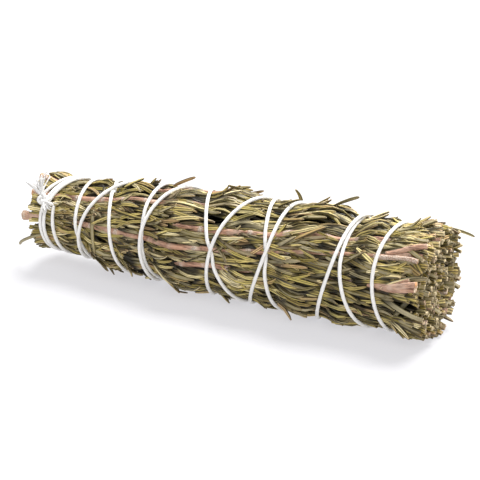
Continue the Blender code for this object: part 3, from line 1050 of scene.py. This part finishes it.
def leaf_sections(rng, count, t, wide):
    """Cross sections of leaves: the section scaled by the leaf's width at t, and rolled."""
    half = rng.uniform(*LEAF_HALF_WIDTH, count) * wide
    height = rng.uniform(*LEAF_HEIGHT, count) * wide
    width = np.interp(t, LEAF_STATIONS, LEAF_WIDTHS)
    across = np.array(LEAF_SECTION)[:, 0][None, None, :] * (half[:, None] * width)[..., None]
    thick = height[:, None] * (0.35 + 0.65 * width)
    up = np.array(LEAF_SECTION)[:, 1][None, None, :] * thick[..., None]
    roll = rng.normal(0.0, ROLL, count)
    roll = np.where(rng.random(count) < UPSIDE_DOWN_SHARE, roll + math.pi, roll)
    turn = (roll[:, None] + rng.normal(0.0, ROLL_ALONG, count)[:, None] * t)[..., None]
    rolled_across = across * np.cos(turn) + up * np.sin(turn)
    rolled_up = up * np.cos(turn) - across * np.sin(turn)
    return np.stack((rolled_across, rolled_up), axis=-1)


def make_leaves(sprig):
    """All leaves of a sprig as one piece, with their depth in mm (which paints shade on the deeper
    ones), tint and age as numbers.
    """
    number, ring = sprig[:2]
    rng = np.random.default_rng(4200 + number)
    count = LEAVES_PER_SPRIG[ring]
    if ring == 2:
        parts = (outer_leaf_paths(sprig, rng, count), stray_paths(sprig, rng, STRAYS_PER_SPRIG))
        spine, outward, t, inside = (np.concatenate(pair) for pair in zip(*parts))
        count += STRAYS_PER_SPRIG
    else:
        spine, outward, t, inside = inner_leaf_paths(sprig, rng, count)
    spine[..., 2] = np.maximum(spine[..., 2], LOWEST_LEAF)
    wide = np.where(spine[:, -1, 0] > CUT_END_X - 0.006, CUT_END_WIDER, 1.0)
    sections = leaf_sections(rng, count, t, wide)
    from_ends = np.minimum(CUT_END_X - spine[..., 0], spine[..., 0] - LEAF_START_X)
    tint = np.clip(rng.normal(0.52, 0.30, count), 0.0, 1.0)
    brown = rng.random(count) < BROWN_SHARE
    numbers = {
        # Painted shade: depth below the surface, made shallower near both ends
        "depth": np.clip(np.minimum(inside, END_DEPTH_SHARE * from_ends), 0.0, 0.01) * 1000,
        "tint": tint,
        "age": np.where(brown, rng.uniform(0.3, 0.95, count), rng.uniform(0, 0.2, count)),
    }
    name = f"sprig_{number:02d}_foliage"
    piece = swept_piece(name, spine, outward, sections, (LEAF, LEAF_CUT), numbers, 45, cap_slot=1)
    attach(piece, "root")
    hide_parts(f"sprig_{number:02d}_leaves")


# ---------------------------------------------------------------------------------------------
# Stems
# ---------------------------------------------------------------------------------------------
def side_twigs(rng, number, ring):
    """Short side twigs beside the stem, cut off with everything else at the cut end.

    They stand off it by TWIG_OFF + reach * t ^ 1.3, and sines round and along ridge them.
    """
    count = 3 if ring == 2 else 2
    start = CUT_END_X - rng.uniform(*TWIG_LENGTH, count)[:, None]
    end = CUT_END_X + rng.uniform(*TWIG_ENDS, count)[:, None]
    t = np.linspace(0.0, 1.0, TWIG_STATIONS)[None, :]
    x = start + (end - start) * t
    radius, angle = stem_at(number, x)
    side = rng.uniform(0, 2 * math.pi, count)[:, None]
    off = TWIG_OFF + rng.uniform(*TWIG_REACH, count)[:, None] * t**1.3
    away = np.stack((np.zeros_like(x), np.cos(side) + 0 * x, np.sin(side) + 0 * x), axis=-1)
    spine = on_bundle(x, radius, angle) + off[..., None] * away
    turn = steps_round(ROUND)
    wide = 0.10 * np.sin(3 * turn + 400 * x[..., None])
    fine = 0.06 * np.sin(7 * turn + 900 * x[..., None])
    size = rng.uniform(*TWIG_SIZE, count)[:, None, None] * (1 + wide + fine)
    return spine, away, round_sections(size, turn)


def make_stem(sprig):
    """A stem, thicker at the tied end, ridged and swollen at its nodes, and its side twigs.

    Its radius is thick * (1 + 0.22 * swell * (1 + 0.5 * sin(2 * turn)) + ridge).
    """
    number, ring, _, golden = sprig
    rng = np.random.default_rng(7700 + number)
    start = STEM_END_X + STEM_END_SPREADS[0] * golden
    end = CUT_END_X + 0.0004 - STEM_END_SPREADS[1] * golden
    places = np.arange(start, end, STEM_STEP)
    places[-1] = end
    radius, angle = stem_at(number, places)
    spine = on_bundle(places, radius, angle)[None]
    outward = outward_at(angle)[None]
    thick = along_body(places, STEM_HALF) * rng.uniform(0.78, 1.12)
    thick = thick * (1 + rng.uniform(0.1, 0.5) * np.exp(-(((places - start) / 0.006) ** 2)))
    nodes = np.arange(start + 0.004, end, 2 * NODE_SPACING)
    nodes += rng.normal(0, 0.0018, len(nodes))
    near_nodes = np.exp(-(((places[:, None] - nodes) / NODE_REACH) ** 2))
    swell = (rng.uniform(0.3, 1.0, len(nodes)) * near_nodes).sum(axis=1)
    turn = steps_round(ROUND)
    ridge = 0.07 * np.sin(4 * turn + 90 * places[:, None] + number)
    ridge = ridge + 0.05 * np.sin(7 * turn - 60 * places[:, None] + 2 * number)
    swollen = 0.22 * swell[:, None] * (1 + 0.5 * np.sin(2 * turn + number))
    sections = round_sections(thick[:, None] * (1 + swollen + ridge), turn)[None]
    name = f"sprig_{number:02d}_woody_stem"
    peeled = rng.uniform(0.25, 1.0) * np.exp(-(((places - start) / PEELED_LENGTH) ** 2))
    looks = {"age": np.clip(swell, 0, 1)[None], "peeled": peeled[None]}
    piece = swept_piece(name, spine, outward, sections, (BARK, WOOD), looks, 1, cap_slot=1)
    shapes = side_twigs(rng, number, ring)
    looks = {"age": rng.uniform(0.0, 0.7, len(shapes[0]))}
    twigs = swept_piece(name + "_twigs", *shapes, (BARK, WOOD), looks, 2, cap_slot=1)
    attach(twigs, "root")
    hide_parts(f"sprig_{number:02d}_stem")
    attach(piece, "root")
    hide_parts(f"sprig_{number:02d}_stem")


# ---------------------------------------------------------------------------------------------
# String
# ---------------------------------------------------------------------------------------------
def make_string():
    """The binding string, made of four plies that twist round each other.

    Its radius is STRING_RADIUS * (0.93 + 0.035 * cos(4 * (turn - twist)) + unevenness).
    """
    wound = np.linspace(STRING_FIRST, STRING_LAST, ROUTE_SAMPLES)
    route = on_bundle(string_x(wound), string_radius(wound), wound)
    steps = np.linalg.norm(np.diff(route, axis=0), axis=1)
    length = np.concatenate(([0.0], np.cumsum(steps)))
    even = np.linspace(0.0, length[-1], round(length[-1] / STRING_STEP))
    wound = np.interp(even, length, wound)
    spine = on_bundle(string_x(wound), string_radius(wound), wound)[None]
    turn = steps_round(ROUND)
    plies = 0.035 * np.cos(4 * (turn - even[:, None] * 2 * math.pi / STRING_TWIST))
    uneven = 0.04 * np.sin(even[:, None] * 900 + 2 * turn) * np.sin(even[:, None] * 137)
    sections = round_sections(STRING_RADIUS * (0.93 + plies + uneven), turn)[None]
    up = outward_at(wound)[None]
    piece = swept_piece("cotton_binding", spine, up, sections, (COTTON,), {}, 1)
    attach(piece, "root")
    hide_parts("binding_string")


def knot_frame():
    """Centre of the knot, and the directions onward round the bundle and outward there."""
    turn = math.radians(KNOT_ANGLE)
    outward = np.array((0.0, -math.sin(turn), math.cos(turn)))
    onward = np.array((0.0, -math.cos(turn), -math.sin(turn)))
    height = leaf_radius(KNOT_X) - STRING_DEPTH + STRING_RADIUS + KNOT_RISE
    return on_bundle(KNOT_X, height, KNOT_ANGLE), onward, outward


def make_knot():
    """A small tight knot: a string that passes three times through its own loop.

    It runs round twice at KNOT_LOOP + KNOT_SWING * cos(3 * t) and rises by sin(3 * t).
    """
    centre, onward, outward = knot_frame()
    t = np.linspace(0, 2 * math.pi, 161)
    radius = KNOT_LOOP + KNOT_SWING * np.cos(3 * t)
    spine = (
        centre
        + (radius * np.cos(2 * t))[:, None] * ALONG * 1.2
        + (radius * np.sin(2 * t))[:, None] * onward
        + (KNOT_HEIGHT * np.sin(3 * t))[:, None] * outward
    )
    turn = steps_round(12)
    size = KNOT_STRING_RADIUS * (1 + 0.07 * np.cos(4 * (turn - 2.0 * t[:, None])))
    sections = round_sections(size, turn)[None]
    up = np.broadcast_to(outward, spine.shape)[None]
    piece = swept_piece("string_knot", spine[None], up, sections, (COTTON,), {}, 1)
    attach(piece, "root")
    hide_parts("binding_knot")


def make_tail(name, node_name, headings, length, seed, count):
    """A cut string end that has come apart: yarns and fine hairs that fan out from the knot.

    A yarn goes reach * t ahead, reach * (fan * t ^ 1.2 + curl * t ^ 3) sideways and
    reach * (rise * t ^ 1.5 - 0.12 * t ^ 2) outward, from its own place beside the knot.
    """
    centre, onward, outward = knot_frame()
    rng = np.random.default_rng(seed)
    heading = unit(sum(share * axis for share, axis in zip(headings, (ALONG, onward, outward))))
    sideways = unit(np.cross(heading, outward))
    yarns = np.concatenate((np.full(count, YARN_RADIUS), np.full(count, HAIR_RADIUS)))
    total = len(yarns)
    t = np.linspace(0.0, 1.0, TAIL_STATIONS)[None, :, None]
    fan = np.concatenate((np.linspace(-TAIL_FAN, TAIL_FAN, count), rng.normal(0.0, 0.4, count)))
    fan = fan[:, None, None]
    rise = rng.normal(0.05, 0.14, total)[:, None, None]
    reach = (length * rng.uniform(0.72, 1.08, total))[:, None, None]
    curl = rng.normal(0.0, 0.10, total)[:, None, None]
    beside = rng.normal(0, 0.00022, total)[:, None, None]
    above = rng.normal(0, 0.00015, total)[:, None, None]
    spine = centre + heading * (0.0010 + reach * t)
    spine = spine + sideways * (reach * (fan * t**1.2 + curl * t**3) + beside)
    spine = spine + outward * (reach * (rise * t**1.5 - 0.12 * t**2) + above)
    sections = round_sections(yarns[:, None, None] * (1 - 0.3 * t), steps_round(6))
    up = np.broadcast_to(outward, spine.shape)
    # Painted shade: each yarn and hair of the tail is greyed by a random share
    looks = {"worn": rng.uniform(0.0, 0.7, total)}
    piece = swept_piece(name, spine, up, sections, (COTTON,), looks, 8)
    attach(piece, "root")
    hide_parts(node_name)


for sprig in SPRIGS:
    make_leaves(sprig)
    make_stem(sprig)
make_string()
make_knot()
make_tail("frayed_tail_upper", "string_tail_upper", (-0.56, -0.80, 0.18), 0.0080, 31, 20)
make_tail("frayed_tail_lower", "string_tail_lower", (0.72, 0.66, 0.22), 0.0050, 32, 12)


# ---------------------------------------------------------------------------------------------
# Floor, light and camera
# ---------------------------------------------------------------------------------------------
def make_floor():
    """A matt floor that shines a little itself, so that the shadow on it stays pale."""
    size = FLOOR_HALF
    corners = [(-size, -size, 0.0), (size, -size, 0.0), (size, size, 0.0), (-size, size, 0.0)]
    mesh = bpy.data.meshes.new("floor")
    mesh.from_pydata(corners, [], [(0, 1, 2, 3)])
    material, shader = new_material("white_floor")
    shader.inputs["Base Color"].default_value = FLOOR_GREY
    shader.inputs["Roughness"].default_value = 0.9
    shader.inputs["Specular IOR Level"].default_value = 0.0
    shader.inputs["Emission Color"].default_value = FLOOR_GLOW
    shader.inputs["Emission Strength"].default_value = 0.565
    mesh.materials.append(material)
    floor = bpy.data.objects.new("floor", mesh)
    bpy.context.scene.collection.objects.link(floor)


def make_sun(name, towards, strength, softness):
    """Light from a direction, with shadow edges as soft as an opening of softness degrees."""
    data = bpy.data.lights.new(name, "SUN")
    data.energy = strength
    data.angle = math.radians(softness)
    light = bpy.data.objects.new(name, data)
    light.rotation_euler = Vector(towards).to_track_quat("Z", "Y").to_euler()
    bpy.context.scene.collection.objects.link(light)


def make_world():
    """White walls at the horizon, and a dimmer ceiling above a height of 0.12 to 0.40."""
    world = bpy.data.worlds.new("white_room")
    world.use_nodes = True
    direction = node(world, "ShaderNodeTexCoord").outputs["Generated"]
    height = node(world, "ShaderNodeSeparateXYZ", Vector=direction).outputs["Z"]
    sky = mixed(world, band(world, height, 0.12, 0.40), WALL_LIGHT, CEILING_LIGHT)
    connect(world, sky, world.node_tree.nodes["Background"].inputs["Color"])
    bpy.context.scene.world = world


def make_camera():
    """A camera that looks at its target from CAMERA_DISTANCE, turned from the front and raised."""
    azimuth, elevation = math.radians(CAMERA_TURN), math.radians(CAMERA_RISE)
    back = Vector((
        math.sin(azimuth) * math.cos(elevation),
        -math.cos(azimuth) * math.cos(elevation),
        math.sin(elevation),
    ))
    data = bpy.data.cameras.new("camera")
    data.lens = CAMERA_LENS
    data.sensor_width = 36.0
    data.clip_start = 0.01
    camera = bpy.data.objects.new("camera", data)
    camera.location = Vector(CAMERA_TARGET) + back * CAMERA_DISTANCE
    camera.rotation_euler = back.to_track_quat("Z", "Y").to_euler()
    bpy.context.scene.collection.objects.link(camera)
    bpy.context.scene.camera = camera


make_camera()
make_floor()
make_world()
make_sun("key", (0.06, 0.56, 0.94), 6.9, 42.0)
make_sun("fill", (0.8, -0.8, 0.9), 1.35, 40.0)
bpy.context.scene.view_settings.view_transform = "Standard"
